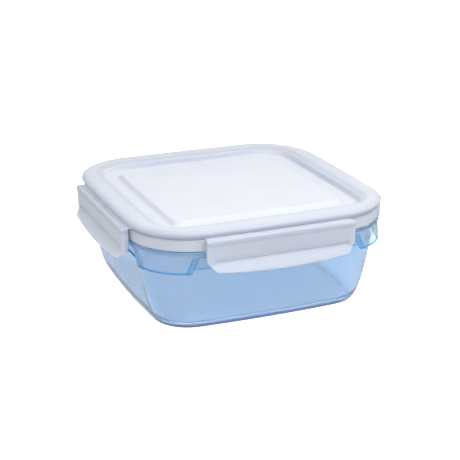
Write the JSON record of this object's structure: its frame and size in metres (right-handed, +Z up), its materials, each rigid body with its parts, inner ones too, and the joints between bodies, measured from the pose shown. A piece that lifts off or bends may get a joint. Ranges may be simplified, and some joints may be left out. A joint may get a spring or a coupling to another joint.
{
  "type": "snap lid food container",
  "caption": "Square food container with a clear bowl-shaped tub, a frosted lid with a seal, and hinged side clips that snap under the tub's flange.",
  "frame": {"origin": "middle of the tub's underside, on the surface it stands on", "axes": "+Z up out of the lid; +X towards the right clip and -Y towards the front clip, seen from the front; the plan is square, so the four sides are alike"},
  "size_m": [0.1666, 0.1666, 0.0621],
  "materials": {
    "tub_blue": "clear pale blue, polished",
    "lid_frost": "frosted translucent, faintly blue",
    "clip_frost": "frosted translucent, faintly blue",
    "seal_silicone": "white silicone"
  },
  "bodies": {
    "tub": {"tub": "tub_blue"},
    "lid": {"lid": "lid_frost", "seal": "seal_silicone", "living_hinge_front": "lid_frost", "living_hinge_right": "lid_frost", "living_hinge_rear": "lid_frost", "living_hinge_left": "lid_frost"},
    "clip_front": {"clip_front": "clip_frost"},
    "clip_right": {"clip_right": "clip_frost"},
    "clip_rear": {"clip_rear": "clip_frost"},
    "clip_left": {"clip_left": "clip_frost"}
  },
  "joints": [
    {"name": "lid_lift", "type": "slide", "parent": "tub", "child": "lid", "axis": [0, 0, 1], "range_m": [0, 0.07]},
    {"name": "clip_front_hinge", "type": "hinge", "parent": "lid", "child": "clip_front", "pos_m": [0, -0.0772, 0.0565], "axis": [-1, 0, 0], "range_deg": [0, 110]},
    {"name": "clip_right_hinge", "type": "hinge", "parent": "lid", "child": "clip_right", "pos_m": [0.0772, 0, 0.0565], "axis": [0, -1, 0], "range_deg": [0, 110]},
    {"name": "clip_rear_hinge", "type": "hinge", "parent": "lid", "child": "clip_rear", "pos_m": [0, 0.0772, 0.0565], "axis": [1, 0, 0], "range_deg": [0, 110]},
    {"name": "clip_left_hinge", "type": "hinge", "parent": "lid", "child": "clip_left", "pos_m": [-0.0772, 0, 0.0565], "axis": [0, 1, 0], "range_deg": [0, 110]}
  ]
}
